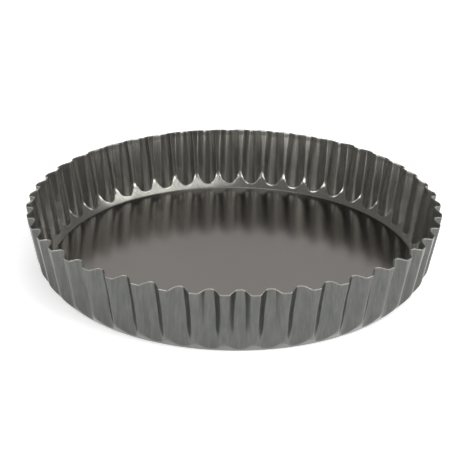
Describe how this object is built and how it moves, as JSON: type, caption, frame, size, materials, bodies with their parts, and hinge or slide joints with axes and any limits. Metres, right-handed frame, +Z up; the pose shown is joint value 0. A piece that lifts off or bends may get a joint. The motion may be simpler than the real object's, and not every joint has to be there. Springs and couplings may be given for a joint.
{
  "type": "tart pan",
  "caption": "Round deep fluted baking pan with outward-leaning wall, bevelled foot and a flat loose base that rests on an in-turned ledge and lifts out.",
  "frame": {"origin": "centre of the foot, on the surface the pan stands on", "axes": "+Z up along the pan's axis, +X through the middle of an outward flute"},
  "size_m": [0.25, 0.25, 0.041],
  "materials": {
    "ring_coating": "satin dark grey non-stick coating with a fine metallic fleck on pressed steel",
    "base_coating": "smooth dark grey non-stick coating on flat steel sheet, glossy at a shallow angle"
  },
  "bodies": {
    "ring": {"fluted_ring": "ring_coating"},
    "base": {"loose_base": "base_coating"}
  },
  "joints": [
    {"name": "base_lift", "type": "slide", "parent": "ring", "child": "base", "axis": [0, 0, 1], "range_m": [0, 0.06]}
  ]
}
